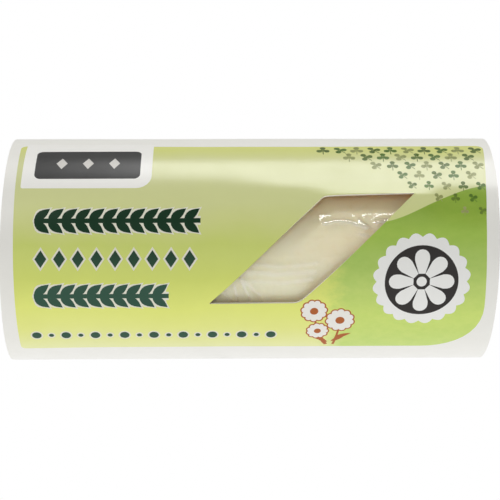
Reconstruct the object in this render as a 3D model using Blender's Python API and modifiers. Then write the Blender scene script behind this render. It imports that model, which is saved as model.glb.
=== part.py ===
"""Goat cheese log of 100 g: fresh cheese in clear film, in a printed card sleeve with a slanted window.

The pack lies on its side, as it does on a shelf. X runs along the log, the printed front with its
window faces -Y, and Z is up. The origin is at the middle of the pack's length and depth, on the
surface it rests on.
"""

import math

import bmesh
import bpy
from mathutils import Matrix, Vector

# Driving dimensions, in metres
SLEEVE_LENGTH = 0.0927
SLEEVE_RADIUS = 0.022
CARD_THICKNESS = 0.00045
SLEEVE_LEAN = 0.0177
FOOT_DEPTH = 0.00024
CHEESE_LENGTH = 0.0830
WRAP_RADIUS = 0.0192
REST_GAP = 0.0003

# The window on the flat card, before it is rolled: along the log, and round the front from mid-height
WINDOW_CENTRE = (0.01148, -0.00019)
WINDOW_WIDTH = 0.01693
WINDOW_HEIGHT = 0.02095
WINDOW_SLANT = 0.02127
WINDOW_POINTED_CORNER = 0.0001
WINDOW_LOWER_ROUND = 0.0028
WINDOW_UPPER_ROUND = 0.0016

# The glued lap along the back of the sleeve, as angles round it from the front over the top
LAP_CLIMB_START = math.radians(200.0)
LAP_START = math.radians(214.0)
LAP_END = math.radians(236.0)

# How finely the round shapes are faceted
SLEEVE_FACETS = 96
LOG_FACETS = 80
BODY_RINGS = 16
SHOULDER_RINGS = 4

AXIS_HEIGHT = SLEEVE_RADIUS - FOOT_DEPTH
SLEEVE_HALF = SLEEVE_LENGTH / 2
CHEESE_HALF = CHEESE_LENGTH / 2

# The film's end, from the cheese outwards: a rounded shoulder, pleats drawn in to a neck, and a short tuft
SHOULDER_RADIUS = 0.0032
PLEAT_COUNT = 16
PLEAT_DEPTH = 0.00050
DISH_DEPTH = 0.0006
NECK_RADIUS = 0.0016
NECK_REACH = 0.0012
TUFT_RADIUS = 0.0034
TUFT_LENGTH = 0.0026


def clear_scene():
    for obj in list(bpy.data.objects):
        bpy.data.objects.remove(obj, do_unlink=True)


def new_collection(name):
    collection = bpy.data.collections.new(name)
    bpy.context.scene.collection.children.link(collection)
    return collection


def plain_material(name, colour, roughness):
    material = bpy.data.materials.new(name)
    material.use_nodes = True
    shader = material.node_tree.nodes["Principled BSDF"]
    shader.inputs["Base Color"].default_value = (*colour, 1.0)
    shader.inputs["Roughness"].default_value = roughness
    shader.inputs["Metallic"].default_value = 0.0
    material.diffuse_color = (*colour, 1.0)
    return material


def smoothstep(low, high, value):
    share = min(1.0, max(0.0, (value - low) / (high - low)))
    return share * share * (3.0 - 2.0 * share)


def flat_outline(name, outlines, thickness, collection):
    """An extruded flat shape as a closed mesh object. Inner outlines, lists of 2D points, are holes."""
    curve = bpy.data.curves.new(name, "CURVE")
    curve.dimensions = "2D"
    curve.fill_mode = "BOTH"
    curve.extrude = thickness / 2
    for outline in outlines:
        spline = curve.splines.new("POLY")
        spline.points.add(len(outline) - 1)
        for point, (across, up) in zip(spline.points, outline):
            point.co = (across, up, 0.0, 1.0)
        spline.use_cyclic_u = True
    drawn = bpy.data.objects.new(name + "_outline", curve)
    collection.objects.link(drawn)
    bpy.context.view_layer.update()
    evaluated = drawn.evaluated_get(bpy.context.evaluated_depsgraph_get())
    mesh = bpy.data.meshes.new_from_object(evaluated)
    mesh.name = name
    bpy.data.objects.remove(drawn, do_unlink=True)
    weld(mesh)
    obj = bpy.data.objects.new(name, mesh)
    collection.objects.link(obj)
    return obj


def weld(mesh):
    """Joins a curve's caps to its sides, and turns every face outwards."""
    work = bmesh.new()
    work.from_mesh(mesh)
    bmesh.ops.remove_doubles(work, verts=work.verts, dist=1e-6)
    bmesh.ops.recalc_face_normals(work, faces=work.faces)
    work.to_mesh(mesh)
    work.free()


def evaluated_mesh(obj):
    """The object's mesh with its modifiers applied."""
    bpy.context.view_layer.update()
    evaluated = obj.evaluated_get(bpy.context.evaluated_depsgraph_get())
    return bpy.data.meshes.new_from_object(evaluated)


def place_on_section(angle, radius):
    """A point of the sleeve's section as (Y, Z) from its axis. The round is pressed flat at the foot."""
    pressed = radius - FOOT_DEPTH
    return -radius * math.cos(angle), max(radius * math.sin(angle), -pressed)


def section_outline(inner):
    """One face of the rolled card, seen from the end. The outer flap climbs onto the inner one."""
    base = SLEEVE_RADIUS - CARD_THICKNESS if inner else SLEEVE_RADIUS
    step_angle = LAP_START if inner else LAP_END
    outline = []
    for index in range(SLEEVE_FACETS):
        angle = 2 * math.pi * index / SLEEVE_FACETS
        next_angle = 2 * math.pi * (index + 1) / SLEEVE_FACETS
        on_lap = angle <= step_angle
        climb = smoothstep(LAP_CLIMB_START, LAP_START, angle) if on_lap else 0.0
        outline.append(place_on_section(angle, base + climb * CARD_THICKNESS))
        if angle < step_angle <= next_angle:
            outline.append(place_on_section(step_angle - 0.001, base + CARD_THICKNESS))
            outline.append(place_on_section(step_angle + 0.001, base))
    return without_foot_middle(outline)


def without_foot_middle(outline):
    """Leaves the pressed foot as one straight line, by dropping the points between its two ends."""
    lowest = min(point[1] for point in outline)
    kept = []
    for index, point in enumerate(outline):
        before, after = outline[index - 1], outline[(index + 1) % len(outline)]
        if max(before[1], point[1], after[1]) > lowest + 1e-9:
            kept.append(point)
    return kept


def rounded_corner(before, corner, after, radius, steps=5):
    """Points of the arc that rounds a corner, from the side before it to the side after it."""
    corner = Vector(corner)
    into = (Vector(before) - corner).normalized()
    out = (Vector(after) - corner).normalized()
    half = into.angle(out) / 2
    centre = corner + (into + out).normalized() * radius / math.sin(half)
    first = corner + into * radius / math.tan(half) - centre
    last = corner + out * radius / math.tan(half) - centre
    turn = first.angle_signed(last)
    arc = []
    for step in range(steps + 1):
        share = step / steps
        arc.append(centre + Matrix.Rotation(-turn * share, 2) @ first)
    return arc


def window_outline():
    """The window on the flat card, anticlockwise from its lower left: (along X, round the front)."""
    middle_x, middle_round = WINDOW_CENTRE
    half_width, half_height, half_slant = WINDOW_WIDTH / 2, WINDOW_HEIGHT / 2, WINDOW_SLANT / 2
    corners = (
        (middle_x - half_slant - half_width, middle_round - half_height),
        (middle_x - half_slant + half_width, middle_round - half_height),
        (middle_x + half_slant + half_width, middle_round + half_height),
        (middle_x + half_slant - half_width, middle_round + half_height),
    )
    radii = (WINDOW_POINTED_CORNER, WINDOW_LOWER_ROUND, WINDOW_POINTED_CORNER, WINDOW_UPPER_ROUND)
    outline = []
    for index, (corner, radius) in enumerate(zip(corners, radii)):
        outline += rounded_corner(corners[index - 1], corner, corners[(index + 1) % 4], radius)
    return outline


def along_sides(outline, longest):
    """The outline with points added on its long sides, so that they follow the card's bend."""
    dense = []
    for index, start in enumerate(outline):
        end = outline[(index + 1) % len(outline)]
        pieces = max(1, math.ceil((end - start).length / longest))
        dense += [start.lerp(end, piece / pieces) for piece in range(pieces)]
    return dense


def window_punch(collection):
    """The tool that cuts the window, straight through the sleeve's front."""
    facet = 2 * math.pi * SLEEVE_RADIUS / SLEEVE_FACETS
    flat = along_sides(window_outline(), facet)
    seen_from_front = [(x, SLEEVE_RADIUS * math.sin(round_ / SLEEVE_RADIUS)) for x, round_ in flat]
    punch = flat_outline("window_punch", [seen_from_front], 0.012, collection)
    punch.rotation_euler = (math.pi / 2, 0.0, 0.0)
    punch.location = (0.0, -SLEEVE_RADIUS, AXIS_HEIGHT)
    punch.hide_render = True
    punch.display_type = "WIRE"
    return punch


def make_sleeve(parts, cutters, material):
    tube = flat_outline(
        "card_tube", [section_outline(False), section_outline(True)], SLEEVE_LENGTH, cutters
    )
    tube.rotation_euler = (math.pi / 2, 0.0, math.pi / 2)
    tube.location = (0.0, 0.0, AXIS_HEIGHT)
    cut = tube.modifiers.new("window", "BOOLEAN")
    cut.operation = "DIFFERENCE"
    cut.solver = "EXACT"
    cut.object = window_punch(cutters)
    mesh = evaluated_mesh(tube)
    mesh.transform(tube.matrix_world)
    bpy.data.objects.remove(tube, do_unlink=True)

    lean = Matrix.Identity(4)
    lean[0][2] = SLEEVE_LEAN
    to_axis = Matrix.Translation((0.0, 0.0, AXIS_HEIGHT))
    mesh.transform(to_axis @ lean @ to_axis.inverted())
    mesh.name = "card_sleeve"
    mesh.materials.clear()
    mesh.materials.append(material)
    mesh.shade_smooth()
    mesh.set_sharp_from_angle(angle=math.radians(30.0))
    sleeve = bpy.data.objects.new("card_sleeve", mesh)
    parts.objects.link(sleeve)
    return sleeve


def end_profile():
    """The wrap's end as (distance from mid-length, radius), from the tip of the tuft back to the body."""
    face = CHEESE_HALF
    tip = face + NECK_REACH + TUFT_LENGTH
    points = [(tip - 0.0002, 0.0), (tip, 0.45 * TUFT_RADIUS), (tip - 0.0006, TUFT_RADIUS)]
    points.append((face + NECK_REACH + 0.0007, NECK_RADIUS))
    flat_edge = WRAP_RADIUS - SHOULDER_RADIUS
    for share in (0.10, 0.24, 0.42, 0.62, 0.82):
        radius = NECK_RADIUS + share * (flat_edge - NECK_RADIUS)
        drawn_in = NECK_REACH * (1.0 - share) ** 4 - DISH_DEPTH * math.sin(math.pi * share)
        points.append((face + drawn_in, radius))
    for ring in range(SHOULDER_RINGS + 1):
        turn = ring / SHOULDER_RINGS * math.pi / 2
        along = face - SHOULDER_RADIUS + SHOULDER_RADIUS * math.cos(turn)
        points.append((along, flat_edge + SHOULDER_RADIUS * math.sin(turn)))
    return points


def log_profile():
    """The whole wrap's profile from the +X tip to the -X tip."""
    end = end_profile()
    start_x = end[-1][0]
    body = [
        (start_x * (1.0 - 2.0 * ring / BODY_RINGS), WRAP_RADIUS) for ring in range(1, BODY_RINGS)
    ]
    far_end = [(-along, radius) for along, radius in reversed(end)]
    return end + body + far_end


def slack(along, angle):
    """The film's gentle unevenness over the whole body."""
    lengthwise = math.sin(2 * math.pi * along / 0.031 + 1.3 * math.sin(angle))
    around = math.sin(5 * angle + 60.0 * along) + 0.6 * math.sin(9 * angle - 95.0 * along)
    return 0.00010 * lengthwise + 0.00009 * around


def pleat_wave(angle, side):
    """From -1 to 1 round the end: uneven pleats, different at each end of the log."""
    drift = 0.55 * math.sin(2 * angle + side) + 0.40 * math.sin(3 * angle - 2.0 * side)
    return math.sin(PLEAT_COUNT * angle + drift)


def shape_wrap(co):
    """Moves a point of the turned shape to the film's folded surface."""
    radius = math.hypot(co.y, co.z)
    angle = math.atan2(co.z, -co.y)
    side = 1.0 if co.x > 0 else -1.0
    if radius < 1e-7:
        return co.copy()
    beyond = abs(co.x) - CHEESE_HALF
    on_tuft = smoothstep(NECK_REACH, NECK_REACH + 0.001, beyond)
    flat_edge = WRAP_RADIUS - SHOULDER_RADIUS
    if radius < flat_edge + 1e-6:
        share = (radius - NECK_RADIUS) / (flat_edge - NECK_RADIUS)
        bell = math.sin(math.pi * min(1.0, max(0.0, share * 0.85 + 0.12)))
        along = co.x + side * PLEAT_DEPTH * bell * pleat_wave(angle, side) * (1.0 - on_tuft)
        ruffle = 1.0 + on_tuft * 0.22 * math.sin(7 * angle + side) * smoothstep(0.0, TUFT_RADIUS, radius)
        grown = radius * ruffle
    else:
        drawn = smoothstep(WRAP_RADIUS, flat_edge, radius)
        edge = smoothstep(CHEESE_HALF - 0.009, CHEESE_HALF - SHOULDER_RADIUS, abs(co.x))
        pleats = 0.00022 * edge * pleat_wave(angle, side)
        along = co.x + side * 0.00022 * drawn * pleat_wave(angle, side)
        grown = radius + pleats + slack(co.x, angle)
    return Vector((along, -grown * math.cos(angle), grown * math.sin(angle)))


def make_wrapped_log(parts, cutters, material):
    profile = bpy.data.meshes.new("log_profile")
    points = [(radius, 0.0, along) for along, radius in log_profile()]
    edges = [(index, index + 1) for index in range(len(points) - 1)]
    profile.from_pydata(points, edges, [])
    turned = bpy.data.objects.new("turned_log", profile)
    cutters.objects.link(turned)
    screw = turned.modifiers.new("turn", "SCREW")
    screw.axis = "Z"
    screw.steps = LOG_FACETS
    screw.render_steps = LOG_FACETS
    screw.use_merge_vertices = True
    screw.merge_threshold = 0.00001
    mesh = evaluated_mesh(turned)
    bpy.data.objects.remove(turned, do_unlink=True)

    mesh.transform(Matrix.Rotation(math.pi / 2, 4, "Y"))
    for vertex in mesh.vertices:
        vertex.co = shape_wrap(vertex.co)
    weld(mesh)
    lowest = min(vertex.co.z for vertex in mesh.vertices)
    mesh.transform(Matrix.Translation((0.0, 0.0, CARD_THICKNESS + REST_GAP - lowest)))
    mesh.name = "wrapped_cheese_log"
    mesh.materials.clear()
    mesh.materials.append(material)
    mesh.shade_smooth()
    log = bpy.data.objects.new("wrapped_cheese_log", mesh)
    parts.objects.link(log)
    return log


def main():
    clear_scene()
    parts = new_collection("goat_cheese_log")
    cutters = new_collection("cutters")
    printed_card = plain_material("printed_card", (0.56, 0.62, 0.20), 0.42)
    filmed_cheese = plain_material("filmed_cheese", (0.78, 0.74, 0.58), 0.25)
    make_sleeve(parts, cutters, printed_card)
    make_wrapped_log(parts, cutters, filmed_cheese)


main()
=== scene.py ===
"""A goat cheese log in a round printed card sleeve with a slanted window, dressed for a studio picture.

X runs along the log, the printed front faces -Y and Z is up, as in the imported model. Shapes are laid out in
print units, of which the sleeve's radius has 23, so one is a little under a millimetre. On the flat card,
x runs along the log, and s round the card from mid-height at the front, upwards.
"""

import math

import bpy
from mathutils import Matrix, Vector, noise
from mathutils.geometry import delaunay_2d_cdt


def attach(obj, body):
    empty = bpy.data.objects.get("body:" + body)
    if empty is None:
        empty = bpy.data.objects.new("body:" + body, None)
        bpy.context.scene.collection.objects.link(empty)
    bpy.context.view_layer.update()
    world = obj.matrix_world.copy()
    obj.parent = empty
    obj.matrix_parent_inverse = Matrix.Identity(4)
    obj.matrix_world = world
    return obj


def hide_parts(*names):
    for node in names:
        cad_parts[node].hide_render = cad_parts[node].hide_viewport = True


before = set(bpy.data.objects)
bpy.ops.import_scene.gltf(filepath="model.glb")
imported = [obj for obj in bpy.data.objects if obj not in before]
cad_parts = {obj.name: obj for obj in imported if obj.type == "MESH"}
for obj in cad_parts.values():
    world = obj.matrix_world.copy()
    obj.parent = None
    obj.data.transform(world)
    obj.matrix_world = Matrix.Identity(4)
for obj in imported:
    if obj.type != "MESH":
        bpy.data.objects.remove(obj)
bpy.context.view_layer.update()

# The solids' own sizes, in print units
SLEEVE_RADIUS = 23.0
UNIT = 0.022 / SLEEVE_RADIUS
MILLIMETRE = 0.001 / UNIT
SLEEVE_LENGTH = 92.7 * MILLIMETRE
CARD_THICKNESS = 0.45 * MILLIMETRE
SLEEVE_LEAN = 0.0177
FOOT_DEPTH = 0.24 * MILLIMETRE
CHEESE_LENGTH = 83.0 * MILLIMETRE
WRAP_RADIUS = 19.2 * MILLIMETRE
AXIS_HEIGHT = SLEEVE_RADIUS - FOOT_DEPTH
LAP_CLIMB_START = math.radians(200.0)
LAP_START = math.radians(214.0)
LAP_END = math.radians(236.0)

# The window's corners from its lower left, anticlockwise, and how far each is rounded
WINDOW_CORNERS = ((-8.0, -11.2), (9.6, -11.1), (31.95, 10.85), (14.2, 10.45))
WINDOW_ROUNDING = (0.11, 2.9, 0.11, 1.6)

# The film's end: shoulder, pleats, neck and tuft
SHOULDER_RADIUS = 3.2 * MILLIMETRE
PLEAT_COUNT = 16
PLEAT_DEPTH = 0.50 * MILLIMETRE
DISH_DEPTH = 0.6 * MILLIMETRE
NECK_RADIUS = 1.6 * MILLIMETRE
NECK_REACH = 1.2 * MILLIMETRE
TUFT_RADIUS = 3.4 * MILLIMETRE
TUFT_LENGTH = 2.6 * MILLIMETRE


def smoothstep(low, high, value):
    share = min(1.0, max(0.0, (value - low) / (high - low)))
    return share * share * (3.0 - 2.0 * share)


# Materials


class Shader:
    """A material's node tree, with short calls for the nodes used here."""

    def __init__(self, name):
        self.material = bpy.data.materials.new(name)
        self.material.use_nodes = True
        self.tree = self.material.node_tree
        self.tree.nodes.clear()
        self.output = self.add("ShaderNodeOutputMaterial")

    def add(self, kind, **settings):
        node = self.tree.nodes.new(kind)
        for key, value in settings.items():
            setattr(node, key, value)
        return node

    def join(self, source, target):
        self.tree.links.new(source, target)

    def flat_place(self):
        """The place on the flat card or on the log's skin, in print units, and the height of a fold there."""
        return self.add("ShaderNodeAttribute", attribute_name="flat").outputs["Vector"]

    def object_place(self):
        return self.add("ShaderNodeTexCoord").outputs["Object"]

    def noise(self, place, scale, detail=3.0, roughness=0.5):
        node = self.add("ShaderNodeTexNoise")
        node.inputs["Scale"].default_value = scale
        node.inputs["Detail"].default_value = detail
        node.inputs["Roughness"].default_value = roughness
        self.join(place, node.inputs["Vector"])
        return node.outputs["Fac"]

    def stretched(self, place, scale):
        node = self.add("ShaderNodeMapping")
        node.inputs["Scale"].default_value = scale
        self.join(place, node.inputs["Vector"])
        return node.outputs["Vector"]

    def ranged(self, value, low, high, to_low=0.0, to_high=1.0, smooth=False):
        node = self.add("ShaderNodeMapRange")
        node.interpolation_type = "SMOOTHSTEP" if smooth else "LINEAR"
        for index, number in enumerate((low, high, to_low, to_high), 1):
            node.inputs[index].default_value = number
        self.join(value, node.inputs[0])
        return node.outputs[0]

    def parts(self, vector):
        node = self.add("ShaderNodeSeparateXYZ")
        self.join(vector, node.inputs[0])
        return node.outputs

    def maths(self, operation, first, second):
        node = self.add("ShaderNodeMath", operation=operation)
        for socket, value in zip(node.inputs, (first, second)):
            if isinstance(value, (int, float)):
                socket.default_value = value
            else:
                self.join(value, socket)
        return node.outputs[0]

    def ramp(self, value, stops):
        """A run of colours: stops are (position, linear colour)."""
        node = self.add("ShaderNodeValToRGB")
        elements = node.color_ramp.elements
        while len(elements) < len(stops):
            elements.new(0.5)
        for element, (position, colour) in zip(elements, stops):
            element.position = position
            element.color = (*colour, 1.0)
        self.join(value, node.inputs[0])
        return node.outputs[0]

    def mix(self, factor, first, second, blend="MIX"):
        node = self.add("ShaderNodeMix", data_type="RGBA", blend_type=blend)
        for socket, value in ((node.inputs[0], factor), (node.inputs[6], first), (node.inputs[7], second)):
            if isinstance(value, (int, float)):
                socket.default_value = value
            elif isinstance(value, tuple):
                socket.default_value = (*value, 1.0)
            else:
                self.join(value, socket)
        return node.outputs[2]

    def bump(self, height, distance, strength=1.0, normal=None):
        node = self.add("ShaderNodeBump")
        node.inputs["Strength"].default_value = strength
        node.inputs["Distance"].default_value = distance
        self.join(height, node.inputs["Height"])
        if normal is not None:
            self.join(normal, node.inputs["Normal"])
        return node.outputs["Normal"]

    def principled(self, roughness=0.5, **values):
        node = self.add("ShaderNodeBsdfPrincipled")
        if isinstance(roughness, (int, float)):
            node.inputs["Roughness"].default_value = roughness
        else:
            self.join(roughness, node.inputs["Roughness"])
        for key, value in values.items():
            socket = node.inputs[key.replace("_", " ")]
            if isinstance(value, tuple) and len(value) == 3 and socket.type == "RGBA":
                socket.default_value = (*value, 1.0)
            elif isinstance(value, (int, float, tuple)):
                socket.default_value = value
            else:
                self.join(value, socket)
        return node

    def finish(self, surface):
        self.join(surface, self.output.inputs["Surface"])
        return self.material


FIELD_LOW, FIELD_HIGH = -24.0, 26.0


def stops_by_height(stops):
    """Colour stops given at heights round the card, as positions from 0 to 1."""
    return [((s - FIELD_LOW) / (FIELD_HIGH - FIELD_LOW), colour) for s, colour in stops]


# The printed field's colour by height: its own fade, paler and greyer round s = 9. From 15 to 20, where the
# overhead highlight falls, it is also bluer and less yellow, a painted whitening of that highlight.
YELLOW_GREEN_AND_HIGHLIGHT_STOPS = stops_by_height((
    (-23.5, (0.82, 0.84, 0.40)),
    (-17.0, (0.80, 0.83, 0.24)),
    (-12.0, (0.78, 0.83, 0.18)),
    (-6.0, (0.65, 0.72, 0.135)),
    (0.5, (0.61, 0.69, 0.16)),
    (5.0, (0.67, 0.71, 0.27)),
    (9.0, (0.67, 0.70, 0.32)),
    (15.0, (0.63, 0.65, 0.31)),
    (20.0, (0.64, 0.66, 0.31)),
    (25.0, (0.66, 0.69, 0.19)),
))
END_GREEN_STOPS = stops_by_height((
    (-23.0, (0.58, 0.73, 0.17)),
    (-14.0, (0.62, 0.76, 0.16)),
    (-8.0, (0.52, 0.67, 0.14)),
    (-3.0, (0.41, 0.58, 0.095)),
    (3.0, (0.38, 0.56, 0.075)),
    (8.0, (0.28, 0.42, 0.05)),
))
# The dark green ink by height: darkest from about s = 1 up, lighter below, partly the ink's own tone and
# partly a painted reflection of the bright table.
INK_AND_REFLECTION_STOPS = stops_by_height((
    (-20.0, (0.016, 0.075, 0.040)),
    (-6.0, (0.022, 0.082, 0.050)),
    (-3.0, (0.012, 0.062, 0.028)),
    (1.0, (0.004, 0.036, 0.013)),
    (6.0, (0.003, 0.032, 0.011)),
))


def card_surface(shader, colour, roughness=0.24, specular=0.62):
    """The coated card's face: a soft sheen over a very fine grain and a faint mottle."""
    place = shader.object_place()
    grain = shader.noise(place, 5200.0, 2.0)
    mottle = shader.noise(place, 260.0, 3.0)
    tinted = shader.mix(shader.ranged(mottle, 0.3, 0.7, 0.0, 0.10), colour, (0.80, 0.80, 0.74), "MULTIPLY")
    worn = shader.ranged(mottle, 0.3, 0.7, roughness - 0.02, roughness + 0.03)
    normal = shader.bump(grain, 0.000020, 0.45)
    face = shader.principled(worn, Base_Color=tinted, Normal=normal, Specular_IOR_Level=specular)
    return shader.finish(face.outputs[0])


def height_on_card(shader):
    """The place round the card as 0 to 1 over the printed field, with a little unevenness."""
    x, s, _ = shader.parts(shader.flat_place())
    uneven = shader.noise(shader.object_place(), 90.0, 2.0)
    shifted = shader.maths("ADD", s, shader.ranged(uneven, 0.2, 0.8, -1.1, 1.1))
    return x, shader.ranged(shifted, FIELD_LOW, FIELD_HIGH)


def plain_card_material(name, colour, roughness=0.34, specular=0.62):
    return card_surface(Shader(name), colour, roughness, specular)


def field_material():
    shader = Shader("print_yellow_green_and_highlight")
    _, height = height_on_card(shader)
    # The field's ramp carries a painted whitening of the overhead highlight from s = 15 to 20.
    return card_surface(shader, shader.ramp(height, YELLOW_GREEN_AND_HIGHLIGHT_STOPS))


def end_green_material():
    """Mottled green that fades to the yellow-green of the rest of the card towards the left."""
    shader = Shader("print_end_green")
    x, height = height_on_card(shader)
    patches = shader.noise(shader.stretched(shader.object_place(), (1.0, 1.0, 1.7)), 420.0, 4.0, 0.65)
    x_shifted = shader.maths("ADD", x, shader.ranged(patches, 0.25, 0.75, -1.6, 1.6))
    near = shader.ramp(height, YELLOW_GREEN_AND_HIGHLIGHT_STOPS)
    far = shader.ramp(height, END_GREEN_STOPS)
    dappled = shader.mix(shader.ranged(patches, 0.35, 0.7, 0.0, 0.28), far, (0.66, 0.84, 0.55), "MULTIPLY")
    return card_surface(shader, shader.mix(shader.ranged(x_shifted, 13.5, 19.5, smooth=True), near, dappled))


def ink_material():
    shader = Shader("print_dark_green_and_reflection")
    _, height = height_on_card(shader)
    # Its ramp is lighter low on the card, partly a painted reflection of the bright table.
    return card_surface(shader, shader.ramp(height, INK_AND_REFLECTION_STOPS), 0.30, 0.28)


def foliage_material(name, top, low):
    """Leaf ink, a little blotched, from one colour low on the card to another at its top."""
    shader = Shader(name)
    _, height = height_on_card(shader)
    blotch = shader.noise(shader.object_place(), 700.0, 3.0)
    colour = shader.mix(shader.ranged(height, 0.5, 1.0), low, top)
    varied = shader.mix(shader.ranged(blotch, 0.35, 0.65, 0.0, 0.5), colour, (0.55, 0.6, 0.45), "MULTIPLY")
    return card_surface(shader, varied, 0.28, 0.34)


def kraft_material():
    """The card's uncoated inner face: warm grey-brown board with flecks and fibres."""
    shader = Shader("card_inside")
    place = shader.object_place()
    fibre = shader.noise(shader.stretched(place, (0.35, 1.0, 1.0)), 2600.0, 5.0, 0.7)
    cloud = shader.noise(place, 240.0, 3.0)
    colour = shader.mix(shader.ranged(fibre, 0.35, 0.68), (0.66, 0.38, 0.13), (0.82, 0.53, 0.22))
    shaded = shader.mix(shader.ranged(cloud, 0.3, 0.7, 0.0, 0.25), colour, (0.8, 0.72, 0.6), "MULTIPLY")
    normal = shader.bump(fibre, 0.00003, 0.4)
    face = shader.principled(0.85, Base_Color=shaded, Normal=normal, Specular_IOR_Level=0.25)
    return shader.finish(face.outputs[0])


def cheese_material():
    """Fresh white cheese with an ivory cast: close-grained, moist, faintly crumbly."""
    shader = Shader("fresh_cheese")
    place = shader.object_place()
    curd = shader.noise(place, 900.0, 5.0, 0.62)
    cloud = shader.noise(place, 120.0, 3.0)
    colour = shader.mix(shader.ranged(cloud, 0.3, 0.7), (0.93, 0.91, 0.73), (0.95, 0.935, 0.78))
    shaded = shader.mix(shader.ranged(curd, 0.30, 0.50, 0.30, 0.0), colour, (0.90, 0.86, 0.74), "MULTIPLY")
    normal = shader.bump(curd, 0.00012, 0.35)
    face = shader.principled(
        0.50,
        Base_Color=shaded,
        Normal=normal,
        Subsurface_Weight=0.25,
        Subsurface_Radius=(0.0030, 0.0022, 0.0012),
        Subsurface_Scale=0.6,
        Specular_IOR_Level=0.4,
    )
    return shader.finish(face.outputs[0])


def film_material():
    """Clear food film: nearly all light passes, and facing light shows as gloss. Along its folds more of the
    milky glossy layer is mixed in, partly the film lying double and partly a painted sheen.
    """
    shader = Shader("clear_film")
    place = shader.object_place()
    ripple = shader.noise(shader.stretched(place, (0.5, 1.0, 1.0)), 420.0, 3.0, 0.55)
    normal = shader.bump(ripple, 0.00010, 0.30)
    fresnel = shader.add("ShaderNodeFresnel")
    fresnel.inputs["IOR"].default_value = 1.5
    shader.join(normal, fresnel.inputs["Normal"])
    clear = shader.add("ShaderNodeBsdfTransparent")
    clear.inputs["Color"].default_value = (0.995, 0.99, 0.965, 1.0)
    gloss = shader.principled(
        0.08, Base_Color=(0.93, 0.92, 0.84), Normal=normal, Specular_IOR_Level=1.0, IOR=2.6
    )
    # The fold height whitens the film along its folds: partly film lying double, partly a painted sheen.
    fold = shader.parts(shader.flat_place())[2]
    facing = shader.ranged(fresnel.outputs[0], 0.04, 0.6, 0.11, 0.75)
    share = shader.maths("ADD", facing, shader.ranged(fold, 0.10, 0.34, 0.0, 0.30, smooth=True))
    mixed = shader.add("ShaderNodeMixShader")
    shader.join(share, mixed.inputs[0])
    shader.join(clear.outputs[0], mixed.inputs[1])
    shader.join(gloss.outputs[0], mixed.inputs[2])
    return shader.finish(mixed.outputs[0])


# Shapes of the print, flat


def turned(points, centre, degrees):
    """Points given about the origin, turned and moved to a centre."""
    cos, sin = math.cos(math.radians(degrees)), math.sin(math.radians(degrees))
    return [(centre[0] + x * cos - s * sin, centre[1] + x * sin + s * cos) for x, s in points]


def leaf(base, degrees, length, width, grow=0.0, steps=6):
    """A pointed leaf from its base outwards. grow widens it all round, for an outline."""
    upper = []
    for step in range(steps + 1):
        share = step / steps
        swell = math.sin(math.pi * share ** 0.85)
        upper.append((share * length, swell * (width / 2 + grow)))
    upper[0] = (-grow, 0.0)
    upper[-1] = (length + grow * 1.3, 0.0)
    lower = [(x, -s) for x, s in reversed(upper[1:-1])]
    return turned(upper + lower, base, degrees)


def disc(centre, radius, points=20, squash=1.0):
    """A disc, or a diamond where it has four points, stretched round the card by squash."""
    return [
        (
            centre[0] + radius * math.cos(2 * math.pi * step / points),
            centre[1] + squash * radius * math.sin(2 * math.pi * step / points),
        )
        for step in range(points)
    ]


def petal(centre, degrees, inner, outer, width, points=9):
    """A round-ended petal that stands away from a flower's centre."""
    shape = [(inner, -0.22 * width), (inner + 0.55 * (outer - inner), -0.5 * width)]
    tip = outer - width / 2
    for step in range(points):
        turn = -math.pi / 2 + math.pi * step / (points - 1)
        shape.append((tip + 0.5 * width * math.cos(turn), 0.5 * width * math.sin(turn)))
    shape += [(inner + 0.55 * (outer - inner), 0.5 * width), (inner, 0.22 * width)]
    return turned(shape, centre, degrees)


def scalloped_disc(centre, radius, scallops, depth):
    """A disc whose edge is a ring of small round lobes."""
    outline = []
    points = scallops * 8
    for step in range(points):
        turn = 2 * math.pi * step / points
        reach = radius - depth * (1.0 - abs(math.sin(scallops * turn / 2)))
        outline.append((centre[0] + reach * math.cos(turn), centre[1] + reach * math.sin(turn)))
    return outline


def ribbon(points, start_width, end_width):
    """A thin tapering band along a line of points."""
    left, right = [], []
    for index, point in enumerate(points):
        before = points[max(0, index - 1)]
        after = points[min(len(points) - 1, index + 1)]
        way = (after - before).normalized()
        half = (start_width + (end_width - start_width) * index / (len(points) - 1)) / 2
        side = Vector((-way.y, way.x)) * half
        left.append(tuple(point + side))
        right.append(tuple(point - side))
    return left + right[::-1]


def rounded_corner(before, corner, after, radius, steps=6):
    """Points of the arc that rounds a corner."""
    corner = Vector(corner)
    into = (Vector(before) - corner).normalized()
    out = (Vector(after) - corner).normalized()
    half = into.angle(out) / 2
    centre = corner + (into + out).normalized() * radius / math.sin(half)
    first = corner + into * radius / math.tan(half) - centre
    last = corner + out * radius / math.tan(half) - centre
    turn = first.angle_signed(last)
    return [tuple(centre + Matrix.Rotation(-turn * step / steps, 2) @ first) for step in range(steps + 1)]


def rounded_shape(corners, radii, steps=6):
    outline = []
    for index, (corner, radius) in enumerate(zip(corners, radii)):
        after = corners[(index + 1) % len(corners)]
        outline += rounded_corner(corners[index - 1], corner, after, radius, steps)
    return outline


def split_sides(outline, longest):
    """The outline with points added on its long sides."""
    dense = []
    for index, start in enumerate(outline):
        start = Vector(start)
        end = Vector(outline[(index + 1) % len(outline)])
        pieces = max(1, math.ceil((end - start).length / longest))
        dense += [tuple(start.lerp(end, piece / pieces)) for piece in range(pieces)]
    return dense


def window_outline():
    return rounded_shape(WINDOW_CORNERS, WINDOW_ROUNDING)


FIELD_BOTTOM, FIELD_TOP = -23.7, 26.0
PATCH_LEFT, PATCH_RIGHT, PATCH_BOTTOM = -45.1, -19.6, 12.6

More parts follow.
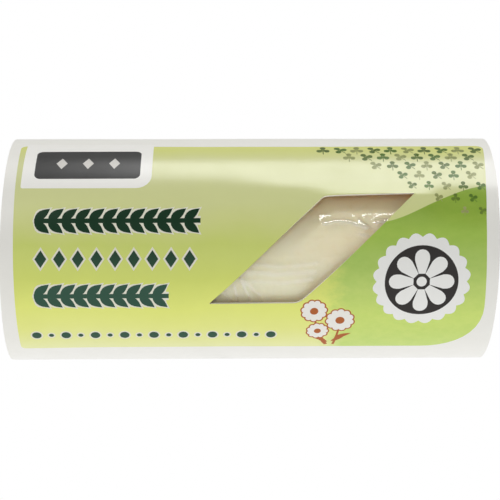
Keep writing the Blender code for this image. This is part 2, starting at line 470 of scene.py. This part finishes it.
# The printed field's corners, anticlockwise from the lower left, and how far each is rounded
FIELD_CORNERS = (
    ((-45.5, -24.0), 1.0),
    ((-30.0, -23.6), 0.2),
    ((0.0, -23.5), 0.2),
    ((46.4, -23.7), 11.5),
    ((45.9, 0.0), 0.2),
    ((45.9, 6.0), 0.2),
    ((46.2, 13.0), 0.2),
    ((47.1, FIELD_TOP), 1.6),
    ((10.0, FIELD_TOP - 0.3), 0.2),
    ((-20.0, FIELD_TOP - 0.1), 0.2),
    ((-46.3, FIELD_TOP + 0.2), 1.2),
    ((-46.1, 10.0), 0.2),
)


def field_outline():
    corners, radii = zip(*FIELD_CORNERS)
    return rounded_shape(corners, radii, 10)


def patch_outline():
    """The white patch at the top left, with a plain rounded lower corner."""
    top = FIELD_TOP + 1.0
    corners = ((PATCH_LEFT, PATCH_BOTTOM), (PATCH_RIGHT, PATCH_BOTTOM), (PATCH_RIGHT, top), (PATCH_LEFT, top))
    return rounded_shape(corners, (0.4, 3.0, 0.2, 0.2))


def end_green_outline():
    """The green end of the card, whose plain upper edge rises smoothly to the right."""
    left, right, low = 11.0, 47.2, FIELD_BOTTOM - 0.5
    steps = 24
    edge = []
    for step in range(steps + 1):
        x = right + (24.0 - right) * step / steps
        edge.append((x, 5.0 + 8.0 * smoothstep(24.0, right, x)))
    return [(left, low), (right, low)] + edge + [(left, 5.0)]


def garland(start, end, s, height, leaf_width, pitch, tilt=38.0):
    """A straight band of paired leaves on a thin stem: (stem, leaves) for one stretch of print."""
    leaves = []
    length = height / 2 / math.sin(math.radians(tilt))
    count = max(2, round((end - start - length * 0.8) / pitch))
    step = (end - start - length * math.cos(math.radians(tilt))) / count
    for index in range(count + 1):
        x = start + index * step
        lift = 0.25 * leaf_width
        leaves.append(((x, s + lift * 0.3), tilt, length, leaf_width))
        leaves.append(((x, s - lift * 0.3), -tilt, length, leaf_width))
    return leaves, (start, end + 0.2)


# Each stretch: left end, right end, height round the card, height of the band, leaf width, pitch
GARLANDS = (
    (-42.0, -10.0, 5.6, 4.7, 1.75, 2.6),
    (-42.0, -16.0, -9.4, 4.7, 1.75, 2.6),
)
BACK_GARLAND = (-30.5, -6.0, 57.0, 3.2, 1.3, 1.9)

# The inks of a row from below upwards, and how far each grows past the shape
ROW_INKS = (("pale_outline", 0.42), ("dark_green", 0.0))
ROW_STEM = 0.95
DIAMOND_COUNT = 9
DIAMOND_PITCH = 3.6
DIAMOND_START = (-40.6, -1.9)


def leaf_row(layers, stretch, thick, inks):
    """One row of paired leaves on a stem that thick, drawn once in each of its inks."""
    leaves, (start, end) = garland(*stretch)
    stem = [Vector((start + (end - start) * step / 12, stretch[2])) for step in range(13)]
    for ink, grow in inks:
        layers.append((ink, ribbon(stem, thick + 2 * grow, thick + 2 * grow)))
        for base, turn, length, width in leaves:
            layers.append((ink, leaf(base, turn, length, width, grow)))


def row_shapes(layers):
    """Two unbroken rows of leaves in dark ink with a pale outline, and a row of diamonds between them."""
    for stretch in GARLANDS:
        leaf_row(layers, stretch, ROW_STEM, ROW_INKS)
    first, s = DIAMOND_START
    for ink, grow in ROW_INKS:
        for index in range(DIAMOND_COUNT):
            layers.append((ink, disc((first + DIAMOND_PITCH * index, s), 1.15 + grow, 4, 1.5)))
    low_row(layers)


def low_row(layers):
    """The bottom row: evenly spaced round dots, every other one small."""
    for name, grow in (("pale_outline", 0.3), ("dark_green", 0.0)):
        for index in range(17):
            radius = 0.95 if index % 2 == 0 else 0.5
            layers.append((name, disc((-42.0 + 2.9 * index, -19.2), radius + grow, 18)))


BLOCK_CENTRE = (-32.3, 19.2)


def block_shapes(layers):
    """A plain dark block with rounded corners on the white patch, and three pale diamonds in it."""
    x, s = BLOCK_CENTRE
    half_length, half_height = 10.4, 4.3
    corners = (
        (x - half_length, s - half_height),
        (x + half_length, s - half_height),
        (x + half_length, s + half_height),
        (x - half_length, s + half_height),
    )
    layers.append(("block", rounded_shape(corners, (1.2, 1.2, 1.2, 1.2))))
    for index in range(-1, 2):
        layers.append(("block_mark", disc((x + 5.2 * index, s), 1.1, 4, 1.5)))


ROSETTE_CENTRE = (33.4, -6.6)


def rosette_shapes(layers):
    """A white disc with a scalloped edge, and on it a dark disc with an eight-petalled white flower."""
    layers.append(("rosette_white", scalloped_disc(ROSETTE_CENTRE, 9.6, 20, 0.8)))
    layers.append(("rosette_dark", disc(ROSETTE_CENTRE, 7.2, 60)))
    for index in range(8):
        layers.append(("rosette_white", petal(ROSETTE_CENTRE, 45.0 * index, 1.6, 6.4, 2.9)))
    layers.append(("rosette_white", disc(ROSETTE_CENTRE, 1.0, 20)))


def daisy(layers, centre, radius, turn):
    """A white meadow flower with a rust-brown rim and heart."""
    for name, grow in (("rust", 0.28), ("flower_white", 0.0)):
        for index in range(11):
            degrees = turn + 360.0 * index / 11
            layers.append((name, petal(centre, degrees, 0.6, radius + grow, 0.5 * radius + 1.6 * grow)))
    layers.append(("rust", disc(centre, radius * 0.33, 18)))


# Each meadow flower: centre, radius, turn in degrees, and where its stem ends along the card
FLOWERS = (
    ((12.7, -13.0), 2.5, 8.0, 15.6),
    ((17.9, -15.3), 2.75, 22.0, 16.9),
    ((13.6, -18.2), 2.1, 0.0, 15.4),
)
STEM_FOOT = -22.7

# Each leaf at the flowers' foot: base, direction in degrees, length
FOOT_LEAVES = (
    ((16.4, -21.6), 38.0, 3.8),
    ((15.8, -21.9), 142.0, 3.4),
    ((17.0, -20.2), 22.0, 3.6),
    ((15.2, -20.9), 160.0, 2.8),
)


def flower_shapes(layers):
    """Three meadow flowers on brown stems below the window."""
    for (x, s), _, _, foot in FLOWERS:
        stem = []
        for step in range(9):
            share = step / 8
            stem.append(Vector((x + (foot - x) * share ** 1.6, s + (STEM_FOOT - s) * share)))
        layers.append(("rust", ribbon(stem, 0.38, 0.5)))
    for base, degrees, length in FOOT_LEAVES:
        layers.append(("rust", leaf(base, degrees, length, 0.95)))
    for centre, radius, turn, _ in FLOWERS:
        daisy(layers, centre, radius, turn)


def clover(layers, ink, centre, size, degrees):
    """A clover leaf: three round leaflets on a short stalk."""
    for index in range(3):
        layers.append((ink, petal(centre, degrees + 120.0 * index, 0.08 * size, size, 0.85 * size)))
    stalk = [Vector(centre), Vector(turned([(1.25 * size, 0.0)], centre, degrees + 180.0)[0])]
    layers.append((ink, ribbon(stalk, 0.16 * size, 0.12 * size)))


CLOVER_ROWS = 7
CLOVER_PITCH = 3.4
CLOVER_ROW_GAP = 2.75


def clover_shapes(layers):
    """Even rows of clover leaves in three greens at the right of the card, smaller and fewer lower down."""
    inks = ("leaf_olive", "leaf_green", "leaf_pale")
    for row in range(CLOVER_ROWS):
        s = 24.0 - CLOVER_ROW_GAP * row
        size = 1.45 - 0.10 * row
        for column in range(10):
            x = 14.5 + CLOVER_PITCH * (column + 0.5 * (row % 2))
            if x < 14.0 + 4.2 * row or x > 45.6:
                continue
            clover(layers, inks[(row + column) % 3], (x, s), size, 90.0 + 40.0 * ((row + column) % 2))


def bar(start, end, s, height):
    """A short bar with round ends, its middle at a height round the card."""
    corners = ((start, s - height / 2), (end, s - height / 2), (end, s + height / 2), (start, s + height / 2))
    return rounded_shape(corners, (0.45 * height,) * 4, 4)


def back_shapes(layers):
    """A yellow-green band along the back, above the glued lap, with a leaf row, bars and a white patch."""
    left, right = -34.0, 34.0
    low, high = 52.0, 68.0
    corners = ((left, low), (right, low), (right, high), (left, high))
    layers.append(("back_panel", rounded_shape(corners, (2.0, 2.0, 2.0, 2.0), 6)))
    leaf_row(layers, BACK_GARLAND, 0.6, (("dark_green", 0.0),))
    for index, end in enumerate((-8.0, -12.5, -9.5)):
        layers.append(("small_ink", bar(-30.5, end, 61.2 + 2.0 * index, 0.6)))
    patch = ((12.0, 54.6), (30.0, 54.6), (30.0, 65.4), (12.0, 65.4))
    layers.append(("patch_white", rounded_shape(patch, (0.8, 0.8, 0.8, 0.8), 4)))
    for index in range(3):
        layers.append(("small_ink", bar(14.0, 28.0 - 2.5 * index, 57.4 + 2.6 * index, 0.7)))


# The card, wrapped


def uneven(x, s):
    """The card's slight waviness, in print units."""
    broad = noise.noise(Vector((x * 0.055, s * 0.05, 3.1)))
    fine = noise.noise(Vector((x * 0.16, s * 0.14, 9.7)))
    return 0.05 * broad + 0.02 * fine


def freed_edge(x, s):
    """Above the window the cut card springs flatter than the round, by this much outwards."""
    across = smoothstep(8.0, 19.0, x) * smoothstep(40.0, 31.5, x)
    over = max(0.0, 17.0 - s) if s > 0 else 0.0
    fade = smoothstep(3.0, 10.8, s)
    return across * fade * min(over, 6.2) ** 2 / (2.0 * SLEEVE_RADIUS)


def card_point(x, s, depth):
    """Where a place of the flat card lies on the sleeve, that deep below its outer face, in print units."""
    angle = s / SLEEVE_RADIUS
    climb = smoothstep(LAP_CLIMB_START, LAP_START, angle)
    radius = SLEEVE_RADIUS + climb * (CARD_THICKNESS + 0.02) + freed_edge(x, s) + uneven(x, s) - depth - 0.03
    across = -radius * math.cos(angle)
    up = radius * math.sin(angle)
    if -0.25 * math.pi > angle > -0.75 * math.pi:
        up = max(up, -(SLEEVE_RADIUS - FOOT_DEPTH - depth))
    return Vector((x + SLEEVE_LEAN * up, across, up + AXIS_HEIGHT))


def card_normal(x, s):
    """Which way the card faces. Over the window it lies flatter, so it faces up sooner than the round."""
    step = 0.05
    s += 3.0 * smoothstep(-8.0, 13.0, x) * smoothstep(10.6, 14.0, s) * smoothstep(19.0, 15.5, s)
    along = card_point(x + step, s, 0.0) - card_point(x - step, s, 0.0)
    upward = card_point(x, s + step, 0.0) - card_point(x, s - step, 0.0)
    return along.cross(upward).normalized()


SHEET_LOW = (LAP_START - 2 * math.pi) * SLEEVE_RADIUS
SHEET_HIGH = LAP_END * SLEEVE_RADIUS


def print_layers():
    """Every print shape from the bottom layer to the top one: (ink, outline)."""
    layers = [("yellow_green", field_outline()), ("end_green", end_green_outline())]
    clover_shapes(layers)
    layers.append(("patch_white", patch_outline()))
    block_shapes(layers)
    row_shapes(layers)
    flower_shapes(layers)
    rosette_shapes(layers)
    back_shapes(layers)
    return layers


INSIDE_FIELD_ONLY = {"end_green", "leaf_olive", "leaf_pale", "leaf_green"}


def anticlockwise(outline):
    """The outline's points in anticlockwise order."""
    area = 0.0
    for index, point in enumerate(outline):
        before = outline[index - 1]
        area += before[0] * point[1] - point[0] * before[1]
    return outline if area > 0 else outline[::-1]


def flat_triangles(layers):
    """Triangles of the flat card cut along every print edge: (points, [(triangle, ink)])."""
    half = SLEEVE_LENGTH / 2
    points, edges, faces = [], [], []

    def add_outline(outline):
        first = len(points)
        points.extend(Vector(point) for point in outline)
        faces.append(list(range(first, len(points))))

    sheet = [(-half, SHEET_LOW), (half, SHEET_LOW), (half, SHEET_HIGH), (-half, SHEET_HIGH)]
    add_outline(split_sides(sheet, 1.0))
    add_outline(anticlockwise(split_sides(window_outline(), 0.5)))
    for _, outline in layers:
        add_outline(anticlockwise(split_sides(outline, 2.0)))
    rows = 150
    for row in range(1, rows):
        s = SHEET_LOW + (SHEET_HIGH - SHEET_LOW) * row / rows
        edges.append((len(points), len(points) + 1))
        points.extend((Vector((-half, s)), Vector((half, s))))
    columns = 24
    for column in range(1, columns):
        x = -half + SLEEVE_LENGTH * column / columns
        edges.append((len(points), len(points) + 1))
        points.extend((Vector((x, SHEET_LOW)), Vector((x, SHEET_HIGH))))

    new_points, _, triangles, _, _, covers = delaunay_2d_cdt(points, edges, faces, 1, 1e-5)
    kept = []
    for triangle, cover in zip(triangles, covers):
        cover = set(cover)
        if 0 not in cover or 1 in cover:
            continue
        ink = "card_white"
        for face in sorted(cover, reverse=True):
            if face < 2:
                break
            name = layers[face - 2][0]
            if name in INSIDE_FIELD_ONLY and 2 not in cover:
                continue
            ink = name
            break
        kept.append((triangle, ink))
    return new_points, kept


def build_sleeve(inks):
    """The printed card sleeve: outer face, inner face and cut edges as one closed mesh."""
    flat, kept = flat_triangles(print_layers())
    used = sorted({index for triangle, _ in kept for index in triangle})
    renumber = {old: new for new, old in enumerate(used)}
    count = len(used)
    places = [flat[index] for index in used]
    outer = [card_point(place.x, place.y, 0.0) for place in places]
    inner = [card_point(place.x, place.y, CARD_THICKNESS) for place in places]
    normals = [card_normal(place.x, place.y) for place in places]
    names = list(inks)
    faces, slots, loop_normals = [], [], []
    edge_faces = {}
    for triangle, ink in kept:
        corners = [renumber[index] for index in triangle]
        faces.append(corners)
        slots.append(names.index(ink))
        loop_normals += [normals[corner] for corner in corners]
        for index, corner in enumerate(corners):
            edge = (corner, corners[(index + 1) % len(corners)])
            edge_faces[edge] = True
    for triangle, _ in kept:
        corners = [renumber[index] for index in triangle][::-1]
        faces.append([corner + count for corner in corners])
        slots.append(names.index("inside"))
        loop_normals += [-normals[corner] for corner in corners]
    vertices = outer + inner
    for first, second in edge_faces:
        if (second, first) in edge_faces:
            continue
        face = [second, first, first + count, second + count]
        faces.append(face)
        slots.append(names.index("cut_edge"))
        a, b, c = (vertices[index] for index in face[:3])
        loop_normals += [(b - a).cross(c - b).normalized()] * 4
    mesh = bpy.data.meshes.new("printed_sleeve")
    mesh.from_pydata([vertex * UNIT for vertex in vertices], [], faces)
    for name in names:
        mesh.materials.append(inks[name])
    mesh.polygons.foreach_set("material_index", slots)
    place_attribute = mesh.attributes.new("flat", "FLOAT_VECTOR", "POINT")
    for index, place in enumerate(places):
        for number in (index, index + count):
            place_attribute.data[number].vector = (place.x, place.y, 0.0)
    mesh.shade_smooth()
    mesh.normals_split_custom_set(loop_normals)
    mesh.validate()
    sleeve = bpy.data.objects.new("printed_sleeve", mesh)
    bpy.context.scene.collection.objects.link(sleeve)
    return sleeve


# The log: cheese and film

LOG_DROP = 1.68
LOG_AXIS_HEIGHT = AXIS_HEIGHT - LOG_DROP

# Folds of the film over the window: points as (x, degrees round the log), half-width and height
FILM_FOLDS = (
    (((14.6, 19.0), (17.2, 20.6), (19.6, 20.0), (22.6, 16.8)), 0.62, 0.34),
    (((21.4, 21.8), (22.9, 17.0)), 0.42, 0.30),
    (((24.7, 19.8), (26.2, 21.0), (28.8, 21.2)), 0.50, 0.32),
    (((25.0, 19.4), (28.4, 18.0)), 0.45, 0.24),
    (((-1.9, -12.0), (-1.0, -18.5), (0.6, -27.5)), 0.34, 0.34),
    (((-1.4, -13.0), (1.6, -21.0), (2.6, -28.0)), 0.50, 0.26),
    (((-3.2, -16.0), (-2.2, -28.0)), 0.40, 0.28),
    (((-5.4, -20.0), (-2.4, -28.5)), 0.42, 0.24),
    (((1.0, -4.0), (6.0, -5.4), (13.0, -3.4)), 0.60, 0.22),
    (((-0.5, -8.0), (5.0, -9.8), (12.5, -8.0)), 0.75, 0.26),
    (((0.0, -13.4), (6.0, -14.8), (12.0, -12.6)), 0.75, 0.22),
    (((21.5, 13.2), (24.6, 10.2), (27.0, 11.6)), 0.55, 0.22),
)


def fold_height(x, angle):
    """How far the film's folds stand out at a place of the log."""
    if not -10.0 < x < 36.0 or not math.radians(-40.0) < angle < math.radians(45.0):
        return 0.0
    height = 0.0
    here = Vector((x, WRAP_RADIUS * angle))
    for path, half_width, fold in FILM_FOLDS:
        nearest = 1e9
        for (x0, d0), (x1, d1) in zip(path, path[1:]):
            start = Vector((x0, WRAP_RADIUS * math.radians(d0)))
            way = Vector((x1, WRAP_RADIUS * math.radians(d1))) - start
            share = min(1.0, max(0.0, (here - start).dot(way) / way.length_squared))
            nearest = min(nearest, (here - start - way * share).length)
        height += fold * math.exp(-((nearest / half_width) ** 2))
    return height


def slack(x, angle):
    lengthwise = math.sin(2 * math.pi * x / 31.0 + 1.3 * math.sin(angle))
    around = math.sin(5 * angle + 0.060 * x) + 0.6 * math.sin(9 * angle - 0.095 * x)
    ripple = noise.noise(Vector((x * 0.10, math.cos(angle) * 2.2, math.sin(angle) * 2.2)))
    fine = noise.noise(Vector((x * 0.28, math.cos(angle) * 7.0, math.sin(angle) * 7.0)))
    return 0.10 * lengthwise + 0.06 * around + 0.16 * ripple + 0.045 * fine


def pleat_wave(angle, side):
    drift = 0.55 * math.sin(2 * angle + side) + 0.40 * math.sin(3 * angle - 2.0 * side)
    sharp = math.sin(PLEAT_COUNT * angle + drift)
    fine = math.sin(37 * angle + 1.7 * side + 1.2 * math.sin(5 * angle))
    return 0.85 * math.copysign(abs(sharp) ** 0.8, sharp) + 0.22 * fine


def end_profile():
    """The film's end as (distance from mid-length, radius), from the tuft's tip back to the body."""
    face = CHEESE_LENGTH / 2
    tip = face + NECK_REACH + TUFT_LENGTH
    points = [(tip - 0.2, 0.0), (tip - 0.1, 0.2 * TUFT_RADIUS), (tip, 0.45 * TUFT_RADIUS)]
    points += [(tip - 0.25, 0.75 * TUFT_RADIUS), (tip - 0.6, TUFT_RADIUS), (tip - 1.0, 0.8 * TUFT_RADIUS)]
    points.append((face + NECK_REACH + 0.7, NECK_RADIUS))
    flat_edge = WRAP_RADIUS - SHOULDER_RADIUS
    for step in range(1, 27):
        share = step / 28
        radius = NECK_RADIUS + share * (flat_edge - NECK_RADIUS)
        drawn_in = NECK_REACH * (1.0 - share) ** 4 - DISH_DEPTH * math.sin(math.pi * share)
        points.append((face + drawn_in, radius))
    rings = 12
    for ring in range(rings + 1):
        turn = ring / rings * math.pi / 2
        along = face - SHOULDER_RADIUS + SHOULDER_RADIUS * math.cos(turn)
        points.append((along, flat_edge + SHOULDER_RADIUS * math.sin(turn)))
    return points


def film_point(along, radius, angle):
    """A point of the film's folded surface, from its turned shape."""
    side = 1.0 if along > 0 else -1.0
    beyond = abs(along) - CHEESE_LENGTH / 2
    on_tuft = smoothstep(NECK_REACH, NECK_REACH + 1.0, beyond)
    flat_edge = WRAP_RADIUS - SHOULDER_RADIUS
    wave = pleat_wave(angle, side)
    if radius < flat_edge + 1e-6:
        share = (radius - NECK_RADIUS) / (flat_edge - NECK_RADIUS)
        bell = math.sin(math.pi * min(1.0, max(0.0, share * 0.85 + 0.12)))
        x = along + side * PLEAT_DEPTH * bell * wave * (1.0 - on_tuft)
        ruffle = 1.0 + on_tuft * 0.22 * math.sin(7 * angle + side) * smoothstep(0.0, TUFT_RADIUS, radius)
        grown = radius * ruffle
    else:
        drawn = smoothstep(WRAP_RADIUS, flat_edge, radius)
        edge = smoothstep(CHEESE_LENGTH / 2 - 9.0, CHEESE_LENGTH / 2 - SHOULDER_RADIUS, abs(along))
        x = along + side * 0.22 * drawn * wave
        folds = (1.0 - edge) * fold_height(along, angle)
        grown = radius + 0.22 * edge * wave + folds + slack(along, angle) * 0.6
    return Vector((x, -grown * math.cos(angle), grown * math.sin(angle) + LOG_AXIS_HEIGHT))


def ring_mesh(name, rings, point_of, material, around):
    """A closed turned mesh: rings are (along, radius), and rings of no radius are single points."""
    vertices, faces, rows, places = [], [], [], []
    for along, radius in rings:
        row = []
        steps = 1 if radius < 1e-6 else around
        for step in range(steps):
            angle = -math.pi + 2 * math.pi * step / around
            row.append(len(vertices))
            vertices.append(point_of(along, radius, angle) * UNIT)
            places.append((along, angle * WRAP_RADIUS, fold_height(along, angle)))
        rows.append(row)
    for first, second in zip(rows, rows[1:]):
        for step in range(around):
            a = first[step % len(first)]
            b = first[(step + 1) % len(first)]
            c = second[(step + 1) % len(second)]
            d = second[step % len(second)]
            corners = []
            for corner in (a, b, c, d):
                if corner not in corners:
                    corners.append(corner)
            faces.append(corners)
    mesh = bpy.data.meshes.new(name)
    mesh.from_pydata(vertices, [], faces)
    mesh.materials.append(material)
    attribute = mesh.attributes.new("flat", "FLOAT_VECTOR", "POINT")
    for index, place in enumerate(places):
        attribute.data[index].vector = place
    mesh.shade_smooth()
    mesh.validate()
    obj = bpy.data.objects.new(name, mesh)
    bpy.context.scene.collection.objects.link(obj)
    return obj


def build_film(material):
    end = end_profile()
    start = end[-1][0]
    body_rings = 190
    body = [(start * (1.0 - 2.0 * ring / body_rings), WRAP_RADIUS) for ring in range(1, body_rings)]
    rings = end + body + [(-along, radius) for along, radius in reversed(end)]
    return ring_mesh("clear_film", rings, film_point, material, 336)


def cheese_point(along, radius, angle):
    lump = noise.noise(Vector((along * 0.09, math.cos(angle) * 1.8, math.sin(angle) * 1.8)))
    fine = noise.noise(Vector((along * 0.45, math.cos(angle) * 8.0, math.sin(angle) * 8.0)))
    shaped = radius * (1.0 + 0.006 * lump + 0.0015 * fine)
    bulge = 0.25 * noise.noise(Vector((radius * 0.25, math.cos(angle) * 2.0, math.sin(angle) * 2.0 + along)))
    x = along + (bulge if abs(along) > CHEESE_LENGTH / 2 - 2.0 else 0.0)
    return Vector((x, -shaped * math.cos(angle), shaped * math.sin(angle) + LOG_AXIS_HEIGHT))


def build_cheese(material):
    face = CHEESE_LENGTH / 2 - 1.4
    radius = WRAP_RADIUS - 0.42
    round_edge = 2.6
    end = [(face, 0.0)] + [(face, (radius - round_edge) * step / 10) for step in range(1, 10)]
    for step in range(9):
        turn = step / 8 * math.pi / 2
        along = face - round_edge + round_edge * math.cos(turn)
        end.append((along, radius - round_edge + round_edge * math.sin(turn)))
    start = end[-1][0]
    body_rings = 110
    body = [(start * (1.0 - 2.0 * ring / body_rings), radius) for ring in range(1, body_rings)]
    rings = end + body + [(-along, ring_radius) for along, ring_radius in reversed(end)]
    return ring_mesh("cheese", rings, cheese_point, material, 200)


# Camera, light and floor

# The camera was fitted to the pack's outline: distances are in sleeve radii
CAMERA_DISTANCE = 13.10
CAMERA_YAW = math.radians(1.175)
CAMERA_ROLL = math.radians(-0.189)
CAMERA_SIDE = -0.0142
CAMERA_RISE = 0.0100
FOCAL_PIXELS = 109.76 * 13.10
IMAGE_PIXELS = 500.0


def place_camera():
    turn = Matrix.Rotation(CAMERA_ROLL, 3, "Y") @ Matrix.Rotation(CAMERA_YAW, 3, "Z")
    back = turn.transposed()
    data = bpy.data.cameras.new("camera")
    data.sensor_width = 36.0
    data.lens = FOCAL_PIXELS / IMAGE_PIXELS * data.sensor_width
    data.clip_start = 0.01
    data.clip_end = 20.0
    camera = bpy.data.objects.new("camera", data)
    bpy.context.scene.collection.objects.link(camera)
    axis_centre = Vector((0.0, 0.0, AXIS_HEIGHT * UNIT))
    offset = back @ Vector((CAMERA_SIDE, CAMERA_DISTANCE, CAMERA_RISE)) * SLEEVE_RADIUS * UNIT
    right, look, up = (back @ Vector(axis) for axis in ((1, 0, 0), (0, 1, 0), (0, 0, 1)))
    matrix = Matrix((right, up, -look)).transposed().to_4x4()
    matrix.translation = axis_centre - offset
    camera.matrix_world = matrix
    bpy.context.scene.camera = camera


def area_light(name, location, target, width, depth, radiance, colour=(1.0, 1.0, 1.0)):
    """A rectangular soft light of a given brightness. Its width runs along X."""
    data = bpy.data.lights.new(name, "AREA")
    data.shape = "RECTANGLE"
    data.size = width
    data.size_y = depth
    data.energy = radiance * math.pi * width * depth
    data.color = colour
    light = bpy.data.objects.new(name, data)
    bpy.context.scene.collection.objects.link(light)
    light.location = location
    way = Vector(target) - Vector(location)
    light.rotation_euler = way.to_track_quat("-Z", "Y").to_euler()
    return light


def light_only(light, pieces):
    """Keeps a light off everything but the given pieces, as a masked studio lamp is."""
    receivers = bpy.data.collections.new(light.name + "_receivers")
    for piece in pieces:
        receivers.objects.link(piece)
    light.light_linking.receiver_collection = receivers


def light_scene(cheese, film):
    """A box overhead, a lamp at the front left, a soft fill, and masked lamps for the food in the window.

    The last one is the warm light that thin brown card lets through, so the card doesn't stop it."""
    area_light("overhead_box", (0.095, -0.02, 0.50), (0.095, -0.01, 0.0), 0.34, 0.20, 5.3)
    area_light("front_left", (-0.26, -0.42, 0.36), (0.0, -0.02, 0.02), 0.10, 0.10, 19.0)
    area_light("front_fill", (0.05, -0.75, 0.03), (0.0, -0.02, 0.02), 0.60, 0.60, 0.38)
    glint = area_light("film_glint", (0.03, -0.33, 0.42), (0.018, -0.02, 0.028), 0.18, 0.030, 17.0)
    light_only(glint, [film])
    warmth = area_light(
        "window_warmth", (-0.05, -0.62, 0.04), (0.015, -0.02, 0.02), 0.24, 0.24, 3.8, (1.0, 0.98, 0.82)
    )
    light_only(warmth, [cheese])
    through_card = area_light(
        "light_through_card", (0.02, -0.08, 0.40), (0.015, -0.01, 0.02), 0.26, 0.22, 1.9, (1.0, 0.33, 0.01)
    )
    light_only(through_card, [cheese])
    open_to = bpy.data.collections.new("light_through_card_blockers")
    open_to.objects.link(cheese)
    through_card.light_linking.blocker_collection = open_to
    world = bpy.data.worlds.new("studio")
    bpy.context.scene.world = world
    world.use_nodes = True
    tree = world.node_tree
    tree.nodes.clear()
    output = tree.nodes.new("ShaderNodeOutputWorld")
    seen = tree.nodes.new("ShaderNodeBackground")
    seen.inputs["Strength"].default_value = 1.0
    seen.inputs["Color"].default_value = (1.0, 1.0, 1.0, 1.0)
    lit = tree.nodes.new("ShaderNodeBackground")
    lit.inputs["Strength"].default_value = 1.0
    place = tree.nodes.new("ShaderNodeTexCoord")
    split = tree.nodes.new("ShaderNodeSeparateXYZ")
    tree.links.new(place.outputs["Generated"], split.inputs[0])
    ramp = tree.nodes.new("ShaderNodeValToRGB")
    stops = ((0.0, 0.14), (0.45, 0.28), (0.62, 0.48), (1.0, 0.60))
    elements = ramp.color_ramp.elements
    while len(elements) < len(stops):
        elements.new(0.5)
    for element, (position, level) in zip(elements, stops):
        element.position = position
        element.color = (level, level, level * 0.98, 1.0)
    to_unit = tree.nodes.new("ShaderNodeMapRange")
    to_unit.inputs[1].default_value = -1.0
    tree.links.new(split.outputs["Y"], to_unit.inputs[0])
    tree.links.new(to_unit.outputs[0], ramp.inputs[0])
    tree.links.new(ramp.outputs[0], lit.inputs["Color"])
    path = tree.nodes.new("ShaderNodeLightPath")
    mix = tree.nodes.new("ShaderNodeMixShader")
    tree.links.new(path.outputs["Is Camera Ray"], mix.inputs[0])
    tree.links.new(lit.outputs[0], mix.inputs[1])
    tree.links.new(seen.outputs[0], mix.inputs[2])
    tree.links.new(mix.outputs[0], output.inputs["Surface"])


def lay_floor():
    """A glowing white studio table, which lights the pack from below."""
    mesh = bpy.data.meshes.new("studio_table")
    reach = 4.0
    level = -0.00005
    corners = [(x * reach, y * reach, level) for x, y in ((-1, -1), (1, -1), (1, 1), (-1, 1))]
    mesh.from_pydata(corners, [], [(0, 1, 2, 3)])
    material = bpy.data.materials.new("studio_table")
    material.use_nodes = True
    tree = material.node_tree
    tree.nodes.clear()
    glow = tree.nodes.new("ShaderNodeEmission")
    glow.inputs["Color"].default_value = (1.0, 1.0, 1.0, 1.0)
    glow.inputs["Strength"].default_value = 1.0
    output = tree.nodes.new("ShaderNodeOutputMaterial")
    tree.links.new(glow.outputs[0], output.inputs["Surface"])
    mesh.materials.append(material)
    table = bpy.data.objects.new("studio_table", mesh)
    bpy.context.scene.collection.objects.link(table)


def main():
    place_camera()
    white = plain_card_material("card_white", (0.86, 0.85, 0.80))
    inks = {
        "card_white": white,
        "inside": kraft_material(),
        "cut_edge": plain_card_material("card_cut_edge", (0.86, 0.83, 0.74), 0.6),
        "yellow_green": field_material(),
        "end_green": end_green_material(),
        "leaf_olive": foliage_material("print_leaf_olive", (0.085, 0.14, 0.010), (0.17, 0.26, 0.04)),
        "leaf_pale": foliage_material("print_leaf_pale", (0.28, 0.31, 0.09), (0.36, 0.38, 0.15)),
        "leaf_green": foliage_material("print_leaf_green", (0.09, 0.17, 0.015), (0.11, 0.22, 0.025)),
        "patch_white": plain_card_material("print_patch_white", (0.885, 0.875, 0.835)),
        "block": plain_card_material("print_block", (0.020, 0.020, 0.019), 0.30, 0.40),
        "block_mark": plain_card_material("print_block_mark", (0.62, 0.60, 0.56)),
        "pale_outline": plain_card_material("print_pale_outline", (0.76, 0.75, 0.62)),
        "dark_green": ink_material(),
        "rosette_white": plain_card_material("print_rosette_white", (0.86, 0.86, 0.83)),
        "rosette_dark": plain_card_material("print_rosette_dark", (0.022, 0.018, 0.016), 0.34, 0.30),
        "flower_white": plain_card_material("print_flower_white", (0.86, 0.84, 0.78)),
        "rust": plain_card_material("print_rust", (0.44, 0.11, 0.014), 0.34, 0.35),
        "small_ink": plain_card_material("print_small_ink", (0.04, 0.10, 0.02), 0.34, 0.35),
        "back_panel": plain_card_material("print_back_panel", (0.64, 0.70, 0.20)),
    }
    sleeve = build_sleeve(inks)
    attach(sleeve, "root")
    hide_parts("card_sleeve")
    cheese = build_cheese(cheese_material())
    film = build_film(film_material())
    for piece in (cheese, film):
        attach(piece, "root")
        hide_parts("wrapped_cheese_log")
    light_scene(cheese, film)
    lay_floor()
    settings = bpy.context.scene.view_settings
    settings.view_transform = "Standard"
    settings.look = "None"


main()
